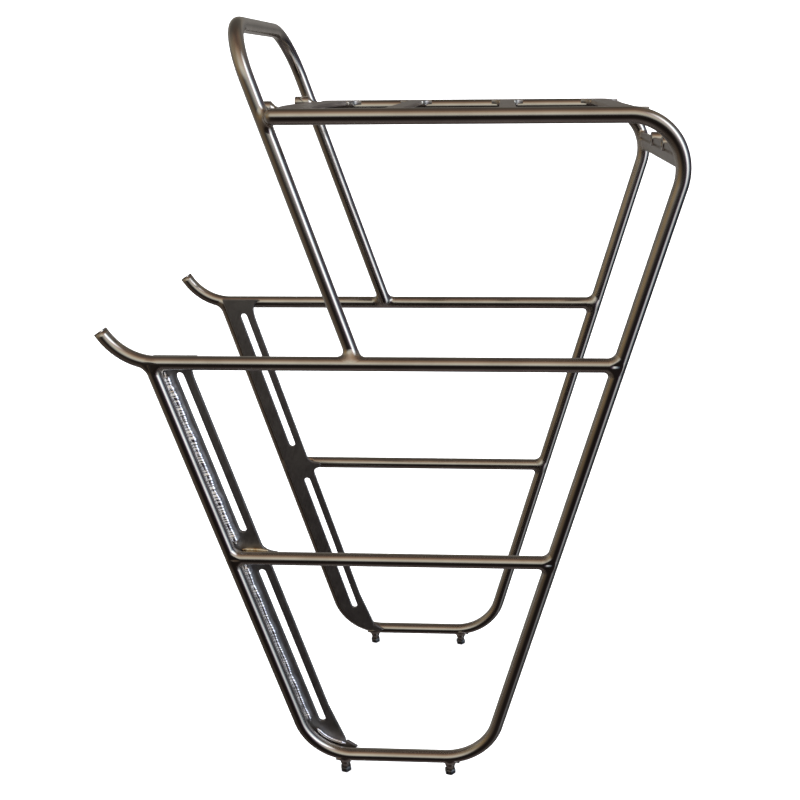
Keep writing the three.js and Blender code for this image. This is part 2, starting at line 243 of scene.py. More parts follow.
def lofted(name, rings, along, round_length):
    """A closed skin over rings of points. `along` gives each ring's V, `round_length` the U."""
    count = len(rings[0])
    points = [p for ring in rings for p in ring]
    faces, uvs = [], []
    for row in range(len(rings) - 1):
        for k in range(count):
            after = (k + 1) % count
            faces.append((
                row * count + k, row * count + after,
                (row + 1) * count + after, (row + 1) * count + k,
            ))
            u0, u1 = round_length * k / count, round_length * (k + 1) / count
            uvs += [(u0, along[row]), (u1, along[row]), (u1, along[row + 1]), (u0, along[row + 1])]
    last = (len(rings) - 1) * count
    faces.append(tuple(reversed(range(count))))
    faces.append(tuple(range(last, last + count)))
    uvs += [(0, along[0])] * count + [(0, along[-1])] * count
    return make_mesh(name, points, faces, uvs)


def around(sides):
    return [2 * math.pi * k / sides for k in range(sides)]


TUBE_SIDES = 56


def swept(name, line, dome=False):
    """A round tube along a centre line, with flat or domed ends."""
    radius = TUBE_RADIUS
    tangents = []
    for k in range(len(line)):
        before = line[max(k - 1, 0)]
        after = line[min(k + 1, len(line) - 1)]
        tangents.append((after - before).normalized())
    tangents[0] = (line[1] - line[0]).normalized()
    side = tangents[0].orthogonal().normalized()
    stations = [(p, t, radius) for p, t in zip(line, tangents)]
    if dome:
        steps = [math.radians(a) for a in (86, 72, 54, 36, 18)]
        front = [
            (line[0] - tangents[0] * radius * math.sin(a), tangents[0], radius * math.cos(a))
            for a in steps
        ]
        back = [
            (line[-1] + tangents[-1] * radius * math.sin(a), tangents[-1], radius * math.cos(a))
            for a in reversed(steps)
        ]
        stations = front + stations + back
    rings, along, travelled = [], [], 0.0
    for k, (point, tangent, size) in enumerate(stations):
        side = (side - tangent * side.dot(tangent)).normalized()
        other = tangent.cross(side)
        if k:
            travelled += (point - stations[k - 1][0]).length
        rings.append([
            point + (side * math.cos(a) + other * math.sin(a)) * size
            for a in around(TUBE_SIDES)
        ])
        along.append(travelled)
    return lofted(name, rings, along, 2 * math.pi * radius)


def turned(name, start, direction, profile, sides=48):
    """A turned piece: profile points are (radius, distance along the axis)."""
    direction = Vector(direction).normalized()
    side = direction.orthogonal().normalized()
    other = direction.cross(side)
    rings = [
        [
            Vector(start) + direction * along
            + (side * math.cos(a) + other * math.sin(a)) * radius
            for a in around(sides)
        ]
        for radius, along in profile
    ]
    mesh = lofted(name, rings, [along for _, along in profile], 30)
    mark_sharp(mesh)
    return mesh


def mark_sharp(mesh, angle=math.radians(32)):
    mesh.set_sharp_from_angle(angle=angle)


def sheet_metal(name, outline, holes, thickness, place, edge=0.35):
    """A flat plate with eased edges. `place` takes (across, along, through) to X, Y, Z."""
    curve = bpy.data.curves.new(name + "_outline", "CURVE")
    curve.dimensions = "2D"
    curve.fill_mode = "BOTH"
    curve.extrude = thickness / 2 - edge
    curve.bevel_depth = edge
    curve.bevel_resolution = 2
    curve.offset = -edge
    for loop in [outline, *holes]:
        spline = curve.splines.new("POLY")
        spline.points.add(len(loop) - 1)
        for point, (a, b) in zip(spline.points, loop):
            point.co = (a, b, 0, 1)
        spline.use_cyclic_u = True
    holder = bpy.data.objects.new(name + "_outline", curve)
    bpy.context.scene.collection.objects.link(holder)
    bpy.context.view_layer.update()
    flat = holder.evaluated_get(bpy.context.evaluated_depsgraph_get())
    mesh = bpy.data.meshes.new_from_object(flat)
    bpy.data.objects.remove(holder)
    bpy.data.curves.remove(curve)
    mesh.name = name
    for vertex in mesh.vertices:
        vertex.co = at(*place(vertex.co.x, vertex.co.y, vertex.co.z))
    shade_smooth(mesh)
    mark_sharp(mesh, math.radians(40))
    mesh.update()
    return mesh


def curve_to(points, control, end, count=8):
    """Adds a quadratic curve from the last of the points to the end."""
    x0, z0 = points[-1]
    for k in range(1, count + 1):
        t = k / count
        a, b, c = (1 - t) ** 2, 2 * t * (1 - t), t * t
        x = a * x0 + b * control[0] + c * end[0]
        z = a * z0 + b * control[1] + c * end[1]
        points.append((x, z))


# ---------------------------------------------------------------- weld fields
#
# A weld is the smooth union of the pieces it joins, close round the joint. Each piece is
# a field: its signed distance at an array of points, in millimetres. The skin is laid
# just under the pieces' own surfaces, so only the fillets between them show.


def tube_field(line, radius=TUBE_RADIUS):
    line = np.array([tuple(p) for p in line])

    def field(points):
        best = np.full(len(points), 1e9)
        for start, end in zip(line[:-1], line[1:]):
            run = end - start
            t = np.clip((points - start) @ run / (run @ run), 0, 1)
            best = np.minimum(best, np.linalg.norm(points - start - t[:, None] * run, axis=1))
        return best - radius

    return field


def block_field(centre, half, turn=0.0):
    """A block, turned about Y."""
    centre, half = np.array(centre), np.array(half)
    c, s = math.cos(turn), math.sin(turn)

    def field(points):
        p = points - centre
        local = np.stack([c * p[:, 0] - s * p[:, 2], p[:, 1], s * p[:, 0] + c * p[:, 2]], axis=1)
        q = np.abs(local) - half
        outside = np.linalg.norm(np.maximum(q, 0), axis=1)
        return outside + np.minimum(q.max(axis=1), 0)

    return field


def smooth_union(fields, blend):
    def field(points):
        total = fields[0](points)
        for other in fields[1:]:
            value = other(points)
            near = np.maximum(blend - np.abs(total - value), 0) / blend
            total = np.minimum(total, value) - near * near * blend / 4
        return total

    return field


SETTLE_PASSES = 3


def skin(field, centre, reach, cell):
    """Surface nets: the closed skin of field < 0 inside a ball, as points and quads."""
    centre = np.array(centre, float)

    def inside_ball(points):
        return np.maximum(field(points), np.linalg.norm(points - centre, axis=1) - reach)

    count = int(2 * (reach + 2 * cell) / cell)
    axis = (np.arange(count) - (count - 1) / 2) * cell
    grid = np.stack(np.meshgrid(axis, axis, axis, indexing="ij"), axis=-1) + centre
    values = inside_ball(grid.reshape(-1, 3)).reshape(count, count, count)
    solid = values < 0
    cells = count - 1
    total = np.zeros((cells, cells, cells, 3))
    crossings = np.zeros((cells, cells, cells))
    corners = [(i, j, k) for i in (0, 1) for j in (0, 1) for k in (0, 1)]

    def part(array, corner):
        i, j, k = corner
        return array[i:i + cells, j:j + cells, k:k + cells]

    for a in corners:
        for b in corners:
            if sum(b) - sum(a) != 1 or any(q < p for p, q in zip(a, b)):
                continue
            va, vb = part(values, a), part(values, b)
            crosses = (va < 0) != (vb < 0)
            t = np.where(crosses, va / np.where(crosses, va - vb, 1), 0)
            point = part(grid, a) + t[..., None] * (part(grid, b) - part(grid, a))
            total += np.where(crosses[..., None], point, 0)
            crossings += crosses
    active = crossings > 0
    number = np.full(active.shape, -1)
    number[active] = np.arange(active.sum())
    points = total[active] / crossings[active][:, None]
    for _ in range(SETTLE_PASSES):
        points = settle(inside_ball, points)
    quads = []
    steps = np.eye(3, dtype=int)
    for d in range(3):
        e, f = steps[(d + 1) % 3], steps[(d + 2) % 3]
        low = solid[1:-1, 1:-1, 1:-1]
        shift = steps[d]
        high = solid[
            1 + shift[0]:count - 1 + shift[0],
            1 + shift[1]:count - 1 + shift[1],
            1 + shift[2]:count - 1 + shift[2],
        ]
        for i, j, k in np.argwhere(low != high) + 1:
            base = np.array((i, j, k))
            ring = [base - e - f, base - f, base, base - e]
            quad = [int(number[tuple(r)]) for r in ring]
            quads.append(quad if solid[i, j, k] else quad[::-1])
    return points, quads


def settle(field, points):
    """Moves points along the field's slope onto its surface."""
    probe = 0.01
    value = field(points)
    slope = np.stack([
        (field(points + probe * axis) - field(points - probe * axis)) / (2 * probe)
        for axis in np.eye(3)
    ], axis=1)
    size = np.maximum((slope * slope).sum(axis=1), 0.25)
    return points - slope * (value / size)[:, None]


# how far a weld's skin lies under the surfaces it joins
WELD_SINK = 0.07
weld_centres = []


def weld(name, centre, reach, fields, blend, cell=0.7):
    union = smooth_union(fields, blend)

    def sunk(points):
        outermost = np.abs(points[:, 1]) - (SIDE_Y + TUBE_RADIUS)
        return np.maximum(union(points), outermost) + WELD_SINK

    points, quads = skin(sunk, centre, reach, cell)
    mesh = make_mesh(name, points, quads)
    weld_centres.append(Vector(centre))
    return piece(name, mesh, weld_material())


# ---------------------------------------------------------------- material nodes


class Nodes:
    """A material's node tree, with short calls for the nodes used here."""

    def __init__(self, tree):
        self.tree = tree

    def add(self, kind, inputs=(), **settings):
        node = self.tree.nodes.new(kind)
        for key, value in settings.items():
            setattr(node, key, value)
        for key, value in dict(inputs).items():
            if isinstance(value, bpy.types.NodeSocket):
                self.tree.links.new(value, node.inputs[key])
            else:
                node.inputs[key].default_value = value
        return node

    def noise(self, vector, scale, detail=3, roughness=0.55):
        node = self.add("ShaderNodeTexNoise", {
            "Vector": vector, "Scale": scale, "Detail": detail, "Roughness": roughness,
        })
        return node.outputs["Fac"]

    def stretched(self, vector, scale):
        node = self.add("ShaderNodeMapping", {"Vector": vector, "Scale": scale})
        return node.outputs["Vector"]

    def ramp(self, factor, stops):
        node = self.add("ShaderNodeValToRGB", {"Fac": factor})
        elements = node.color_ramp.elements
        while len(elements) < len(stops):
            elements.new(0.5)
        for element, (position, colour) in zip(elements, stops):
            element.position = position
            element.color = (*colour, 1)
        return node.outputs["Color"]

    def mix(self, factor, a, b, blend="MIX"):
        node = self.add("ShaderNodeMix", data_type="RGBA", blend_type=blend)
        for key, value in (("Factor_Float", factor), ("A_Color", a), ("B_Color", b)):
            socket = next(s for s in node.inputs if s.identifier == key)
            if isinstance(value, bpy.types.NodeSocket):
                self.tree.links.new(value, socket)
            else:
                socket.default_value = value if key == "Factor_Float" else (*value, 1)
        return next(s for s in node.outputs if s.identifier == "Result_Color")

    def range(self, value, low, high, to_low, to_high):
        node = self.add("ShaderNodeMapRange", {
            "Value": value, "From Min": low, "From Max": high, "To Min": to_low, "To Max": to_high,
        })
        return node.outputs["Result"]

    def math(self, operation, a, b=0.0):
        return self.add("ShaderNodeMath", {0: a, 1: b}, operation=operation).outputs[0]

    def bump(self, height, strength, distance):
        node = self.add("ShaderNodeBump", {
            "Height": height, "Strength": strength, "Distance": distance,
        })
        return node.outputs["Normal"]


materials = {}


def material(name):
    """Makes each material once. The decorated function fills in its nodes."""
    def wrap(fill):
        def made():
            if name not in materials:
                new = bpy.data.materials.new(name)
                new.use_nodes = True
                new.node_tree.nodes.clear()
                nodes = Nodes(new.node_tree)
                shader = nodes.add("ShaderNodeBsdfPrincipled")
                shader.inputs["Metallic"].default_value = 1.0
                output = nodes.add("ShaderNodeOutputMaterial")
                new.node_tree.links.new(shader.outputs["BSDF"], output.inputs["Surface"])
                fill(nodes, shader)
                materials[name] = new
            return materials[name]
        return made
    return wrap


def connect(nodes, shader, **sockets):
    for key, value in sockets.items():
        nodes.tree.links.new(value, shader.inputs[key.replace("_", " ")])


STEEL = (0.66, 0.62, 0.57)
STEEL_DULL = (0.55, 0.51, 0.46)
STRAW = (0.72, 0.55, 0.34)
BRONZE = (0.50, 0.33, 0.22)
VIOLET = (0.42, 0.36, 0.46)


@material("satin_tube_steel")
def tube_material(nodes, shader):
    """Fine brushing along the tube, faint smudges, and heat tint next to the welds."""
    along = nodes.add("ShaderNodeUVMap", uv_map="along").outputs["UV"]
    place = nodes.add("ShaderNodeTexCoord").outputs["Object"]
    grain = nodes.noise(nodes.stretched(along, (3.2, 0.012, 1)), 1.0, detail=2)
    smudge = nodes.noise(place, 38.0, detail=4)
    colour = nodes.mix(nodes.range(smudge, 0.35, 0.7, 0, 1), STEEL, STEEL_DULL)
    heat = nodes.add("ShaderNodeAttribute", attribute_name="heat").outputs["Fac"]
    uneven = nodes.range(nodes.noise(place, 300.0), 0.3, 0.7, 0.6, 1.15)
    warmth = nodes.math("MULTIPLY", heat, uneven)
    tint = nodes.ramp(warmth, [(0.35, STEEL), (0.62, STRAW), (0.8, BRONZE), (1.0, VIOLET)])
    amount = nodes.range(warmth, 0.3, 0.9, 0.0, 0.4)
    colour = nodes.mix(amount, colour, tint)
    rough = nodes.math("ADD", nodes.range(grain, 0.3, 0.7, 0.12, 0.165),
                       nodes.range(smudge, 0.3, 0.75, -0.015, 0.03))
    connect(nodes, shader, Base_Color=colour, Roughness=rough,
            Normal=nodes.bump(grain, 0.03, 0.00003))


@material("brushed_plate_steel")
def plate_material(nodes, shader):
    """Mill-brushed sheet: long streaks down the plate and a few cloudy patches."""
    place = nodes.add("ShaderNodeTexCoord").outputs["Object"]
    turned_place = nodes.add("ShaderNodeMapping", {
        "Vector": place, "Rotation": (0, -math.atan(FRONT_SLOPE), 0),
    }).outputs["Vector"]
    streak = nodes.noise(nodes.stretched(turned_place, (1900, 1900, 45)), 1.0, detail=5)
    cloud = nodes.noise(place, 60.0, detail=6, roughness=0.65)
    patchy = nodes.range(cloud, 0.35, 0.7, 0, 1)
    colour = nodes.mix(patchy, (0.42, 0.415, 0.42), (0.27, 0.265, 0.27))
    colour = nodes.mix(nodes.range(streak, 0.35, 0.7, 0, 0.35), colour, (0.50, 0.49, 0.49))
    rough = nodes.range(streak, 0.3, 0.7, 0.40, 0.54)
    connect(nodes, shader, Base_Color=colour, Roughness=rough,
            Normal=nodes.bump(streak, 0.12, 0.0001))


@material("brushed_strut_steel")
def strut_material(nodes, shader):
    """Flat bar brushed across the rack."""
    place = nodes.add("ShaderNodeTexCoord").outputs["Object"]
    streak = nodes.noise(nodes.stretched(place, (1600, 40, 1600)), 1.0, detail=5)
    cloud = nodes.noise(place, 55.0, detail=4)
    patchy = nodes.range(cloud, 0.35, 0.7, 0, 1)
    colour = nodes.mix(patchy, (0.64, 0.61, 0.575), (0.55, 0.52, 0.49))
    rough = nodes.range(streak, 0.3, 0.7, 0.32, 0.46)
    connect(nodes, shader, Base_Color=colour, Roughness=rough,
            Normal=nodes.bump(streak, 0.1, 0.0001))


@material("dressed_weld_steel")
def weld_material(nodes, shader):
    """Smoothed fillets: steel with faint straw and grey patches and a soft ripple."""
    place = nodes.add("ShaderNodeTexCoord").outputs["Object"]
    cloud = nodes.noise(place, 210.0, detail=4)
    ripple = nodes.noise(place, 900.0, detail=2)
    colour = nodes.ramp(cloud, [
        (0.30, STEEL_DULL), (0.52, STEEL), (0.70, (0.68, 0.60, 0.49)), (0.84, (0.54, 0.47, 0.41)),
    ])
    rough = nodes.range(ripple, 0.3, 0.7, 0.13, 0.2)
    connect(nodes, shader, Base_Color=colour, Roughness=rough,
            Normal=nodes.bump(ripple, 0.1, 0.00005))


@material("bright_bead_steel")
def bead_material(nodes, shader):
    """An undressed bead: bright, with silver, blue and brown bands in its ripples."""
    along = nodes.add("ShaderNodeUVMap", uv_map="along").outputs["UV"]
    place = nodes.add("ShaderNodeTexCoord").outputs["Object"]
    band = nodes.noise(nodes.stretched(along, (0.12, 0.40, 1)), 1.0, detail=4)
    speck = nodes.noise(place, 700.0, detail=3)
    colour = nodes.ramp(band, [
        (0.25, (0.50, 0.44, 0.50)), (0.42, (0.84, 0.85, 0.92)), (0.55, (0.96, 0.96, 0.98)),
        (0.68, (0.80, 0.74, 0.72)), (0.82, (0.62, 0.58, 0.70)),
    ])
    rough = nodes.range(speck, 0.3, 0.7, 0.10, 0.24)
    connect(nodes, shader, Base_Color=colour, Roughness=rough,
            Normal=nodes.bump(speck, 0.12, 0.0001))


@material("straw_bead_steel")
def straw_bead_material(nodes, shader):
    """A short bead that kept the straw and bronze colours of its heat."""
    place = nodes.add("ShaderNodeTexCoord").outputs["Object"]
    tint = nodes.noise(place, 160.0, detail=4)
    speck = nodes.noise(place, 800.0, detail=3)
    colour = nodes.ramp(tint, [
        (0.30, BRONZE), (0.45, STRAW), (0.58, (0.88, 0.80, 0.62)), (0.75, (0.62, 0.50, 0.40)),
    ])
    rough = nodes.range(speck, 0.3, 0.7, 0.14, 0.28)
    connect(nodes, shader, Base_Color=colour, Roughness=rough,
            Normal=nodes.bump(speck, 0.12, 0.0001))


@material("dark_bolt_steel")
def bolt_material(nodes, shader):
    """Dark fasteners with turning marks and bright, rubbed patches."""
    place = nodes.add("ShaderNodeTexCoord").outputs["Object"]
    ring = nodes.noise(nodes.stretched(place, (300, 300, 4500)), 1.0, detail=3)
    rub = nodes.noise(place, 420.0, detail=4)
    colour = nodes.mix(nodes.range(rub, 0.5, 0.75, 0, 0.8), (0.15, 0.15, 0.16), (0.5, 0.5, 0.5))
    rough = nodes.range(ring, 0.3, 0.7, 0.26, 0.42)
    connect(nodes, shader, Base_Color=colour, Roughness=rough,
            Normal=nodes.bump(ring, 0.2, 0.0002))


# ---------------------------------------------------------------- tubes


def add_tube(node, line, dome=False):
    mesh = swept(f"smooth_{node}", finely(line), dome)
    return piece(f"smooth_{node}", mesh, tube_material(), [node])


def add_tubes():
    made = []
    for name, side in SIDES.items():
        made.append(add_tube(f"side_frame_{name}", side_frame_line(side), dome=True))
        made.append(add_tube(f"pannier_rail_{name}", pannier_rail_line(side)))
        made.append(add_tube(f"lower_rail_{name}", lower_rail_line(side)))
    made.append(add_tube("hoop", hoop_line(), dome=True))
    return made


def finely(line, most=8.0):
    """The same line with extra points, so that no two are further apart than `most`."""
    points = [line[0]]
    for start, end in zip(line[:-1], line[1:]):
        count = max(1, math.ceil((end - start).length / most))
        points += [start.lerp(end, k / count) for k in range(1, count + 1)]
    return points


# radius, and distance past the end of the rail
RAIL_PLUG = [
    (3.4, -4), (4.9, -0.4), (5.0, 0.1), (5.0, 0.7), (4.75, 0.95), (4.1, 1.05), (3.7, 0.9),
    (0.5, 0.85),
]


def add_rail_caps():
    for name, side in SIDES.items():
        line = pannier_rail_line(side)
        direction = (line[-1] - line[-2]).normalized()
        mesh = turned(f"rail_plug_{name}", line[-1], direction, RAIL_PLUG)
        piece(f"rail_plug_{name}", mesh, weld_material(),
              [f"pannier_rail_cap_{name}"])


# ---------------------------------------------------------------- plates and struts


def slot_hole(bottom, top, offset):
    """A round-ended slot between two heights, parallel to the front leg's centre line."""
    count = 12
    lean = math.atan(FRONT_SLOPE)
    loop = []
    for z, start in ((top, lean), (bottom, lean + math.pi)):
        for k in range(count + 1):
            angle = start + math.pi * k / count
            loop.append((
                front_leg_x(z) + offset + SLOT_RADIUS * math.cos(angle),
                z + SLOT_RADIUS * math.sin(angle),
            ))
    return loop


def slotted_plate_outline():
    """Down the front leg, round the bottom bend to the toe, and up the free edge.

    A notch parts the heel from the weld tack beside it.
    """
    def front(z):
        return front_leg_x(z) + 1

    def rear(z):
        return front_leg_x(z) + (25 if z < LOWER_RAIL_Z else 23.8)

    lean = math.atan(FRONT_SLOPE)
    bend_x = -BOTTOM_LENGTH + BOTTOM_BEND * math.tan((math.pi / 2 - lean) / 2)
    points = [(front(PLATE_TOP_Z), PLATE_TOP_Z)]
    steps = 16
    for k in range(steps + 1):
        angle = math.pi + lean + (math.pi / 2 - lean) * k / steps
        points.append((
            bend_x + (BOTTOM_BEND - 1) * math.cos(angle),
            BOTTOM_BEND + (BOTTOM_BEND - 1) * math.sin(angle),
        ))
    toe, tack, notch, heel = (-104.3, 2.6), (-112.2, 8.3), (-113.4, 7.2), (-114.0, 10.5)
    points += [toe, (-109.5, 6.3), tack, notch, heel]
    points.append((rear(42), 42))
    tip_x = rear(LOWER_RAIL_Z) + PLATE_FLARE
    above = LOWER_RAIL_Z + PLATE_FLARE
    below = LOWER_RAIL_Z - PLATE_FLARE
    points.append((rear(below), below))
    curve_to(points, (rear(LOWER_RAIL_Z - 3), LOWER_RAIL_Z - 3), (tip_x, LOWER_RAIL_Z - 2))
    points.append((tip_x, LOWER_RAIL_Z + 2))
    curve_to(points, (rear(LOWER_RAIL_Z + 3), LOWER_RAIL_Z + 3), (rear(above), above))
    points.append((rear(PLATE_TOP_Z - 18), PLATE_TOP_Z - 18))
    curve_to(points, (rear(PLATE_TOP_Z - 4), PLATE_TOP_Z - 4),
             (rear(PLATE_TOP_Z) + PLATE_FLARE, PLATE_TOP_Z))
    return points


def add_slotted_plates():
    outline = slotted_plate_outline()
    holes = [slot_hole(199.5, 318.5, 14.6), slot_hole(30, 162.5, 15.8)]
    for name, side in SIDES.items():
        middle = side * (PLATE_INNER_Y + PLATE_THICKNESS / 2)

        def place(a, b, c, middle=middle):
            return (a, middle - c, b)

        mesh = sheet_metal(f"eased_plate_{name}", outline, holes, PLATE_THICKNESS, place)
        piece(f"eased_plate_{name}", mesh, plate_material(),
              [f"slotted_plate_{name}"])


def strut_outline(x, width, bow, front_flare):
    """Seen from above, up to the tubes' centre lines, with flared ends."""
    reach = SIDE_Y - 2
    edge = SIDE_Y - TUBE_RADIUS
    neck = edge - STRUT_FLARE
    front, rear = x - width / 2, x + width / 2
    points = [(front - front_flare, -reach), (front - front_flare, -edge)]
    curve_to(points, (front, -edge), (front, -neck))
    curve_to(points, (front - 2 * bow, 0), (front, neck), 24)
    curve_to(points, (front, edge), (front - front_flare, edge))
    points += [(front - front_flare, reach), (rear + STRUT_FLARE, reach),
               (rear + STRUT_FLARE, edge)]
    curve_to(points, (rear, edge), (rear, neck))
    curve_to(points, (rear - 2 * bow, 0), (rear, -neck), 24)
    curve_to(points, (rear, -edge), (rear + STRUT_FLARE, -edge))
    points.append((rear + STRUT_FLARE, -reach))
    return points


# each strut's middle X, its width, how far it bows forwards, and its flares at the front
STRUTS = {
    "front_strut": (-123.0, 23.0, 10.0, 0.5),
    "middle_strut_front": (-60.0, 11.0, 0.0, STRUT_FLARE),
    "middle_strut_rear": (13.0, 11.0, 0.0, STRUT_FLARE),
    "rear_strut": (86.0, 15.0, 0.0, STRUT_FLARE),
}


def add_struts():
    middle = STRUT_TOP - STRUT_THICKNESS / 2

    def place(a, b, c):
        return (a, b, middle + c)

    for node, shape in STRUTS.items():
        mesh = sheet_metal(f"eased_{node}", strut_outline(*shape), [], STRUT_THICKNESS, place)
        piece(f"eased_{node}", mesh, strut_material(), [node])


# ---------------------------------------------------------------- lamp bracket and bosses


def lamp_section():
    """The folded strip from its end: an upright lip, a pressed crease, and a sloping drop."""
    x, z = LAMP_FOLD_X, LAMP_FOLD_Z
    lean = math.atan(REAR_SLOPE)
    foot_x, foot_z = x + LAMP_DROP * math.sin(lean), z - LAMP_DROP * math.cos(lean)
    thick = LAMP_THICKNESS
    crease = [(x, z + 1.1), (x + 1.2, z + 0.3), (x + 0.25, z - 0.9)]
    return [
        (x, z + LAMP_LIP), *crease, (foot_x, foot_z),
        (foot_x + thick * math.cos(lean), foot_z + thick * math.sin(lean)),
        (x + thick, z + thick * math.tan(lean / 2)), (x + thick, z + LAMP_LIP),
    ]


def add_lamp_bracket():
    width = 2 * (SIDE_Y - 1)
    mesh = sheet_metal(
        "eased_lamp_bracket", lamp_section(), [], width, lambda a, b, c: (a, c, b), edge=0.3,
    )
    piece("eased_lamp_bracket", mesh, strut_material(), ["lamp_bracket"])


def bush_profile(radius, bore, length):
    """A short tube with eased edges and a shallow blind bore at each end."""
    ease = 0.5
    return [
        (bore, 2), (bore, ease), (bore + ease, 0), (radius - ease, 0), (radius - 0.15, 0.15),
        (radius, ease), (radius, length - ease), (radius - 0.15, length - 0.15),
        (radius - ease, length), (bore + ease, length), (bore, length - ease), (bore, length - 2),
    ]


def add_bosses():
    for name, side in SIDES.items():
        start = (LAMP_FOLD_X - 1, side * LAMP_BOSS_Y, LAMP_BOSS_Z)
        mesh = turned(f"bush_lamp_{name}", start, (1, 0, 0), bush_profile(5, 2.6, 14))
        piece(f"bush_lamp_{name}", mesh, weld_material(), [f"lamp_boss_{name}"])
        start = (STAY_BOSS_X, side * STAY_BOSS_Y, STAY_BOSS_Z)
        mesh = turned(f"bush_stay_{name}", start, (1, 0, 0), bush_profile(4.5, 2.6, 11))
        piece(f"bush_stay_{name}", mesh, weld_material(), [f"stay_boss_{name}"])


# radius, and distance below the bottom tube's centre line
FOOT_STUD = [
    (4.2, 2), (4.2, 6.4), (4.0, 7.6), (3.5, 8.8), (3.25, 9.6), (3.25, 10.6), (3.0, 11.0),
    (1.0, 11.0),
]
BOLT_HEAD = [
    (2.3, 6), (2.3, 11.3), (3.9, 11.3), (4.3, 11.6), (4.5, 12.0), (4.5, 14.7), (4.3, 15.2),
    (3.7, 15.5), (2.4, 15.5), (2.2, 14.0), (0.3, 14.0),
]


def add_feet():
    down = (0, 0, -1)
    for name, side in SIDES.items():
        for end, x in FOOT_X.items():
            foot = (x, side * SIDE_Y, 0)
            mesh = turned(f"foot_stud_{end}_{name}", foot, down, FOOT_STUD)
            piece(f"foot_stud_{end}_{name}", mesh, weld_material(),
                  [f"foot_boss_{end}_{name}"])
            mesh = turned(f"bolt_head_{end}_{name}", foot, down, BOLT_HEAD, sides=6)
            piece(f"bolt_head_{end}_{name}", mesh, bolt_material(),
                  [f"foot_bolt_{end}_{name}"])


# ---------------------------------------------------------------- welds


def nearby(line, centre, reach):
    """The stretch of a centre line that passes close to a joint."""
    spare = 12
    fine = finely(line, 6.0)
    close = [k for k, p in enumerate(fine) if (p - Vector(centre)).length < reach + spare]
    return fine[max(close[0] - 1, 0):close[-1] + 2]


def drawn_back(line, joint):
    """The line with its end at a joint shortened, so its round end stays in the other tube."""
    cut = 4.0
    furthest = 9
    joint = Vector(joint)
    if (line[0] - joint).length < (line[-1] - joint).length:
        line = line[::-1]
    step = line[-2] - line[-1]
    if (line[-1] - joint).length > furthest or step.length < cut:
        return line
    return line[:-1] + [line[-1] + step.normalized() * cut]


# how far round a joint between two tubes its weld is drawn
JOINT_REACH = 15


def add_tube_welds():
    for name, side in SIDES.items():
        y = side * SIDE_Y
        frame_line = side_frame_line(side)
        rail_line = pannier_rail_line(side)
        lower_line = lower_rail_line(side)
        hoop = hoop_line()
        joints = {
            "front_leg_top": ((front_leg_x(PANNIER_RAIL_Z - 5), y, PANNIER_RAIL_Z - 5),
                              [frame_line, rail_line], 5.0),
            "pannier_rail_rear": ((rear_leg_x(PANNIER_RAIL_Z) - 5, y, PANNIER_RAIL_Z),
                                  [rail_line, frame_line], 5.0),
            "lower_rail_front": ((front_leg_x(LOWER_RAIL_Z) + 5, y, LOWER_RAIL_Z),
                                 [lower_line, frame_line], 5.0),
            "lower_rail_rear": ((rear_leg_x(LOWER_RAIL_Z) - 5, y, LOWER_RAIL_Z),
                                [lower_line, frame_line], 5.0),
            "hoop_foot": ((hoop_x(PANNIER_RAIL_Z + 4), side * HOOP_FOOT_Y, PANNIER_RAIL_Z + 4),
                          [hoop, rail_line], 7.0),
            "platform_front": ((hoop_x(PLATFORM_Z) + 6, side * (SIDE_Y - 4), PLATFORM_Z),
                               [hoop, frame_line], 8.0),
        }
        for joint, (centre, (ending, passing), blend) in joints.items():
            fields = [
                tube_field(drawn_back(nearby(ending, centre, JOINT_REACH), centre)),
                tube_field(nearby(passing, centre, JOINT_REACH)),
            ]
            weld(f"weld_{joint}_{name}", centre, JOINT_REACH, fields, blend)


def add_strut_welds():
    middle = STRUT_TOP - STRUT_THICKNESS / 2
    for node, (x, width, _, front_flare) in STRUTS.items():
        for name, side in SIDES.items():
            frame_line = side_frame_line(side)
            centre = (x, side * (SIDE_Y - 6), middle)
            wider = 1.5 if front_flare == STRUT_FLARE else 0
            half = (width / 2 + wider, 9, STRUT_THICKNESS / 2)
            fields = [
                tube_field(nearby(frame_line, centre, width)),
                block_field((x, side * (SIDE_Y - 12.5), middle), half),
            ]
            weld(f"weld_{node}_{name}", centre, width / 2 + 7, fields, 2.4)


def add_lamp_welds():
    x, z = LAMP_FOLD_X, LAMP_FOLD_Z
    for name, side in SIDES.items():
        centre = (x + 2, side * (SIDE_Y - 6), z - 2)
        fields = [
            tube_field(nearby(side_frame_line(side), centre, 14)),
            block_field((x + 1.3, side * (SIDE_Y - 14), z + 3.0), (1.2, 14, 1.6)),
            block_field((x + 2.6, side * (SIDE_Y - 14), z - 5), (1.2, 14, 3.6),
                        -math.atan(REAR_SLOPE)),
        ]
        weld(f"weld_lamp_bracket_{name}", centre, 12, fields, 3.0)
        centre = (x + 1.5, side * LAMP_BOSS_Y, z + 2)
        boss = [Vector((x + ahead, side * LAMP_BOSS_Y, LAMP_BOSS_Z)) for ahead in (6, 9)]
        fields = [
            tube_field(boss, 4.6),
            block_field((x + 1.3, side * LAMP_BOSS_Y, z + 3.0), (1.2, 14, 1.6)),
        ]
        weld(f"weld_lamp_boss_{name}", centre, 8, fields, 1.6, cell=0.5)


def add_stay_welds():
    for name, side in SIDES.items():
        y = side * STAY_BOSS_Y
        boss = [Vector((x, y, STAY_BOSS_Z)) for x in (-150, -143.5)]
        fields = [
            tube_field(boss, 4.3),
            block_field((-130, y, STRUT_TOP - STRUT_THICKNESS / 2), (8.0, 14, 1.5)),
        ]
        weld(f"weld_stay_boss_{name}", (-140, y, 495), 8, fields, 4.0, cell=0.6)


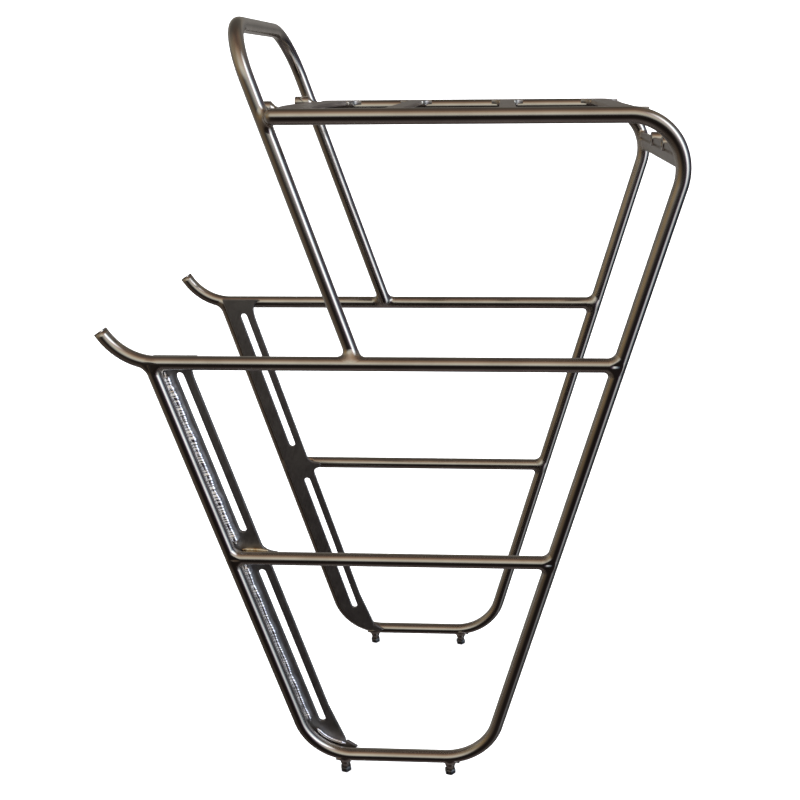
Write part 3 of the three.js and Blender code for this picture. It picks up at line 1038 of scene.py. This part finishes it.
def add_foot_welds():
    for name, side in SIDES.items():
        for end, x in FOOT_X.items():
            y = side * SIDE_Y
            centre = (x, y, -6)
            fields = [
                tube_field([Vector((x - 20, y, 0)), Vector((x + 20, y, 0))]),
                tube_field([Vector((x, y, 0)), Vector((x, y, -4.6))], 4.1),
            ]
            weld(f"weld_foot_{end}_{name}", centre, 8, fields, 3.0, cell=0.6)


# half width, distance from the tube's centre line, and depth of the ripples
BEAD_SHAPE = {
    "top": (2.7, 5.3, 0.36),
    "bottom": (1.9, 5.5, 0.36),
    "toe": (1.3, 6.2, 0.06),
    "rail": (1.5, 4.6, 0.1),
}
BEAD_SIDES = 18
BEAD_PITCH = 2.9
BEAD_STEP = 0.45


def add_long_beads():
    """The beads that join each slotted plate to its leg, bottom bend and lower rail."""
    for name, side in SIDES.items():
        # the front leg and its bottom bend, below the pannier rail's own weld
        line = finely(side_frame_line(side), BEAD_STEP)
        line = [p for p in line if p.x < -104 and p.z < 321]
        # parted at the lower rail's weld, and round the tight part of the bend
        runs = {
            "top": [p for p in line if p.z > LOWER_RAIL_Z + 8],
            "bottom": [p for p in line if 26 < p.z < LOWER_RAIL_Z - 8],
            "toe": [p for p in line if p.z < 17.5 and p.x < -114.5],
        }
        for part, points in runs.items():
            mesh = long_bead(f"bead_{part}_{name}", points, side, *BEAD_SHAPE[part])
            piece(f"bead_{part}_{name}", mesh, bead_material())
        start = front_leg_x(LOWER_RAIL_Z)
        rail_top = [
            Vector((start + x, side * SIDE_Y, LOWER_RAIL_Z))
            for x in (7 + BEAD_STEP * k for k in range(45))
        ]
        mesh = long_bead(f"bead_rail_{name}", rail_top, side, *BEAD_SHAPE["rail"])
        piece(f"bead_rail_{name}", mesh, straw_bead_material())


def long_bead(name, line, side, size, beside, depth):
    """Ripples like overlapping scales, in the corner between the tube and the plate."""
    rings, along, travelled = [], [], 0.0
    inward = Vector((0, -side, 0))
    for k, point in enumerate(line):
        before, after = line[max(k - 1, 0)], line[min(k + 1, len(line) - 1)]
        tangent = (after - before).normalized()
        back = inward.cross(tangent)
        if back.x + back.z < 0:
            back = -back
        if k:
            travelled += (point - line[k - 1]).length
        wander = travelled / BEAD_PITCH
        wander += 0.25 * math.sin(travelled * 0.61) + 0.15 * math.sin(travelled * 1.7)
        phase = wander - math.floor(wander)
        ripple = 1 + depth * (math.sqrt(1 - phase) - 0.8 + 0.28 * math.sin(travelled * 0.37))
        ease = min(1.0, 0.3 + travelled / 6, 0.3 + (len(line) - 1 - k) / 12)
        reach = size * ripple * ease
        centre = point + back * (beside + 0.25 * math.sin(travelled * 0.23)) + inward * 4.0
        rings.append([
            centre + back * math.cos(a) * reach * 1.2 + inward * math.sin(a) * reach
            - tangent * math.cos(a) * 0.5
            for a in around(BEAD_SIDES)
        ])
        along.append(travelled)
    return lofted(name, rings, along, 14.0)


# ---------------------------------------------------------------- heat tint


# full heat within the core of a weld's centre, fading to none over the reach beyond it
HEAT_CORE = 5
HEAT_REACH = 16


def paint_heat(tubes):
    """Stores on each tube how near it is to a weld, from 0 to 1."""
    for tube in tubes:
        mesh = tube.data
        layer = mesh.attributes.new("heat", "FLOAT", "POINT")
        places = np.empty(len(mesh.vertices) * 3)
        mesh.vertices.foreach_get("co", places)
        places = (places.reshape(-1, 3) - np.array(ORIGIN)) / MM
        nearest = np.full(len(places), 1e9)
        for centre in weld_centres:
            nearest = np.minimum(nearest, np.linalg.norm(places - np.array(centre), axis=1))
        heat = np.clip((HEAT_REACH + HEAT_CORE - nearest) / HEAT_REACH, 0, 1)
        layer.data.foreach_set("value", heat)


# ---------------------------------------------------------------- studio


def add_camera():
    data = bpy.data.cameras.new("camera")
    data.sensor_width = 36
    data.lens = 41.7
    data.shift_x = -0.0742
    data.shift_y = 0.0145
    camera = bpy.data.objects.new("camera", data)
    camera.location = at(12.22, -695.31, 517.25)
    camera.rotation_euler = [math.radians(a) for a in (69.904, 0.484, 2.738)]
    bpy.context.scene.collection.objects.link(camera)
    bpy.context.scene.camera = camera


def add_studio():
    """A round cove: a floor that curves up into a wall, seen directly but not in reflections."""
    sides, radius, cove, top = 96, 2.4, 1.2, 3.4
    profile = [(0.05, 0.0), (0.6, 0.0), (1.4, 0.0)]
    profile += [
        (radius + cove * math.sin(a), cove - cove * math.cos(a))
        for a in (math.pi / 2 * k / 12 for k in range(13))
    ]
    profile.append((radius + cove, top))
    points, faces = [Vector((0, 0, 0))], []
    for r, z in profile:
        points += [Vector((r * math.cos(a), r * math.sin(a), z)) for a in around(sides)]
    for k in range(sides):
        faces.append((0, 1 + k, 1 + (k + 1) % sides))
    for row in range(len(profile) - 1):
        for k in range(sides):
            a, b = 1 + row * sides + k, 1 + row * sides + (k + 1) % sides
            faces.append((a, a + sides, b + sides, b))
    mesh = bpy.data.meshes.new("studio_floor")
    mesh.from_pydata(points, [], faces)
    shade_smooth(mesh)
    floor = bpy.data.objects.new("studio_floor", mesh)
    bpy.context.scene.collection.objects.link(floor)
    floor.visible_glossy = False
    paint = bpy.data.materials.new("pale_floor")
    paint.use_nodes = True
    shader = paint.node_tree.nodes["Principled BSDF"]
    shader.inputs["Base Color"].default_value = (0.86, 0.86, 0.86, 1)
    shader.inputs["Roughness"].default_value = 0.9
    shader.inputs["Specular IOR Level"].default_value = 0.0
    shader.inputs["Emission Color"].default_value = (0.95, 0.97, 1.0, 1)
    shader.inputs["Emission Strength"].default_value = 0.62
    mesh.materials.append(paint)


def add_ceiling_light():
    """A broad soft light straight above, not seen in reflections."""
    middle = (cad_bounds[0] + cad_bounds[1]) / 2
    data = bpy.data.lights.new("ceiling", "AREA")
    data.shape = "RECTANGLE"
    data.size = 3.0
    data.size_y = 3.0
    data.energy = 70
    light = bpy.data.objects.new("ceiling", data)
    light.location = (middle.x, middle.y, middle.z + 2.4)
    light.rotation_euler = Vector((0, 0, -1)).to_track_quat("-Z", "Y").to_euler()
    light.visible_camera = False
    light.visible_glossy = False
    bpy.context.scene.collection.objects.link(light)


# What the steel reflects, by height above the horizon in degrees, in four directions.
ZENITH = (0.12, 0.09, 0.075)
NADIR = (0.14, 0.12, 0.12)
SKY = {
    "front": [
        (-90, NADIR), (-70, (0.09, 0.075, 0.075)), (-50, (0.025, 0.02, 0.018)),
        (-30, (0.012, 0.009, 0.008)), (-10, (0.016, 0.013, 0.013)), (-1, (0.05, 0.045, 0.045)),
        (6, (0.26, 0.26, 0.25)), (13, (0.58, 0.58, 0.54)), (24, (0.74, 0.72, 0.62)),
        (35, (0.68, 0.62, 0.52)), (48, (0.56, 0.45, 0.35)), (60, (0.38, 0.27, 0.19)),
        (75, (0.18, 0.12, 0.09)), (90, ZENITH),
    ],
    "left": [
        (-90, NADIR), (-50, (0.06, 0.05, 0.045)), (-28, (0.09, 0.07, 0.055)),
        (-15, (0.13, 0.10, 0.07)), (0, (0.25, 0.18, 0.10)), (10, (0.33, 0.25, 0.15)),
        (25, (0.34, 0.28, 0.19)), (45, (0.28, 0.22, 0.16)), (75, (0.18, 0.12, 0.09)),
        (90, ZENITH),
    ],
    "right": [
        (-90, NADIR), (-45, (0.06, 0.06, 0.065)), (-20, (0.02, 0.02, 0.03)),
        (0, (0.07, 0.065, 0.085)), (15, (0.08, 0.075, 0.11)), (30, (0.15, 0.14, 0.15)),
        (50, (0.22, 0.18, 0.14)), (75, (0.18, 0.12, 0.09)), (90, ZENITH),
    ],
    "back": [
        (-90, NADIR), (-45, (0.05, 0.045, 0.045)), (-28, (0.19, 0.18, 0.17)),
        (-12, (0.24, 0.23, 0.22)), (2, (0.16, 0.155, 0.15)), (14, (0.24, 0.23, 0.22)),
        (24, (0.25, 0.23, 0.20)), (33, (0.13, 0.12, 0.105)), (50, (0.10, 0.09, 0.08)),
        (75, (0.10, 0.075, 0.06)),
        (90, ZENITH),
    ],
}


def degrees_up(elevation):
    return (elevation + 90) / 180


def add_world():
    """The sky in four directions, with a tall bright strip on the right."""
    world = bpy.data.worlds.new("studio_world")
    bpy.context.scene.world = world
    world.use_nodes = True
    nodes = Nodes(world.node_tree)
    world.node_tree.nodes.clear()
    direction = nodes.add("ShaderNodeTexCoord").outputs["Generated"]
    split = nodes.add("ShaderNodeSeparateXYZ", {"Vector": direction}).outputs
    toward = nodes.math("MULTIPLY", split["Y"], -1.0)
    azimuth = nodes.math("DEGREES", nodes.math("ARCTAN2", split["X"], toward))
    elevation = nodes.math("DEGREES", nodes.math("ARCSINE", split["Z"]))
    height = nodes.range(elevation, -90, 90, 0, 1)
    skies = {
        name: nodes.ramp(height, [(degrees_up(e), colour) for e, colour in stops])
        for name, stops in SKY.items()
    }
    colour = nodes.mix(nodes.range(azimuth, -22, -58, 0, 1), skies["front"], skies["left"])
    colour = nodes.mix(nodes.range(azimuth, 26, 46, 0, 1), colour, skies["right"])
    behind = nodes.math(
        "ADD", nodes.range(azimuth, -72, -118, 0, 1), nodes.range(azimuth, 130, 165, 0, 1),
    )
    colour = nodes.mix(behind, colour, skies["back"])
    strip = nodes.ramp(nodes.range(azimuth, 20, 100, 0, 1), [
        (0.0, (0, 0, 0)), (0.14, (0.08, 0.04, 0.11)), (0.24, (0.58, 0.54, 0.70)),
        (0.34, (2.1, 2.15, 2.25)), (0.48, (2.0, 2.2, 2.35)), (0.62, (0.85, 1.08, 1.22)),
        (0.80, (0.04, 0.07, 0.13)), (1.0, (0, 0, 0)),
    ])
    fade = nodes.ramp(height, [
        (degrees_up(-60), (0, 0, 0)), (degrees_up(-43), (0.09, 0.09, 0.09)),
        (degrees_up(-20), (0.38, 0.38, 0.38)), (degrees_up(0), (0.72, 0.72, 0.72)),
        (degrees_up(12), (1, 1, 1)), (degrees_up(40), (1, 1, 1)), (degrees_up(60), (0, 0, 0)),
    ])
    colour = nodes.mix(1.0, colour, nodes.mix(1.0, strip, fade, "MULTIPLY"), "ADD")
    background = nodes.add("ShaderNodeBackground", {"Color": colour, "Strength": 1.0})
    output = nodes.add("ShaderNodeOutputWorld")
    world.node_tree.links.new(background.outputs[0], output.inputs[0])
    bpy.context.scene.view_settings.view_transform = "Standard"


# ---------------------------------------------------------------- assembly

add_camera()
tubes = add_tubes()
add_rail_caps()
add_slotted_plates()
add_struts()
add_lamp_bracket()
add_bosses()
add_feet()
add_tube_welds()
add_strut_welds()
add_lamp_welds()
add_stay_welds()
add_foot_welds()
add_long_beads()
paint_heat(tubes)
add_studio()
add_ceiling_light()
add_world()
